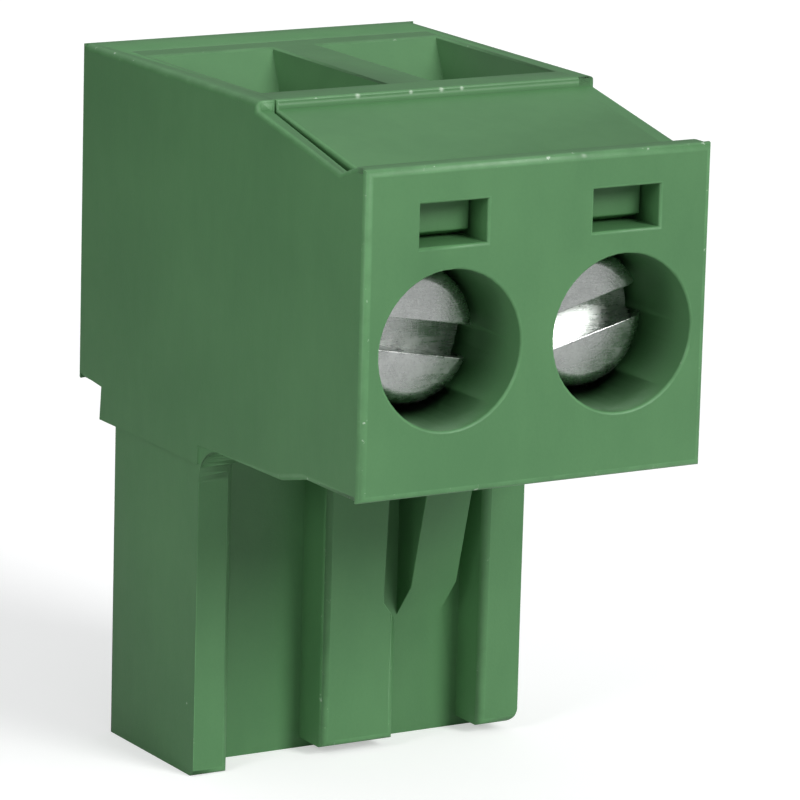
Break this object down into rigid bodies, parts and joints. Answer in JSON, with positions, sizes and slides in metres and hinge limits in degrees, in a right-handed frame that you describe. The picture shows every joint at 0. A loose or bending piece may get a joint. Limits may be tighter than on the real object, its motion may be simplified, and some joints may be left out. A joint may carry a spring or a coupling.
{
  "type": "pluggable terminal block",
  "caption": "Two-pole pluggable screw terminal block with wire entries on top, screws in front and a plug end below.",
  "frame": {"origin": "centre of the plug end: mid-width, on the row of pin entries, in the plane of the plug's end face", "axes": "+Z from the plug end to the wire entries, -Y out of the screw face, +X to the right as seen from the screw face"},
  "size_m": [0.01, 0.015, 0.0183],
  "materials": {
    "housing_plastic": "satin moulded polyamide",
    "cover_plastic": "satin moulded polyamide",
    "screw_zinc": "zinc-plated steel",
    "cage_zinc": "zinc-plated steel",
    "contact_tin": "tin-plated spring bronze"
  },
  "bodies": {
    "block": {"housing": "housing_plastic", "wire_entry_cover": "cover_plastic", "contact_1": "contact_tin", "contact_2": "contact_tin"},
    "screw_body_1": {"screw_1": "screw_zinc"},
    "screw_body_2": {"screw_2": "screw_zinc"},
    "cage_body_1": {"clamp_cage_1": "cage_zinc"},
    "cage_body_2": {"clamp_cage_2": "cage_zinc"}
  },
  "joints": [
    {"name": "screw_turn_1", "type": "hinge", "parent": "block", "child": "screw_body_1", "pos_m": [-0.0025, -0.009, 0.01285], "axis": [0, 1, 0], "range_deg": [0, 1800]},
    {"name": "screw_turn_2", "type": "hinge", "parent": "block", "child": "screw_body_2", "pos_m": [0.0025, -0.009, 0.01285], "axis": [0, 1, 0], "range_deg": [0, 1800]},
    {"name": "clamp_slide_1", "type": "slide", "parent": "block", "child": "cage_body_1", "axis": [0, 1, 0], "range_m": [-0.0025, 0]},
    {"name": "clamp_slide_2", "type": "slide", "parent": "block", "child": "cage_body_2", "axis": [0, 1, 0], "range_m": [-0.0025, 0]}
  ],
  "couplings": [
    {"joint": "screw_turn_1", "follows": "clamp_slide_1", "rad_per_m": -12566},
    {"joint": "screw_turn_2", "follows": "clamp_slide_2", "rad_per_m": -12566}
  ]
}
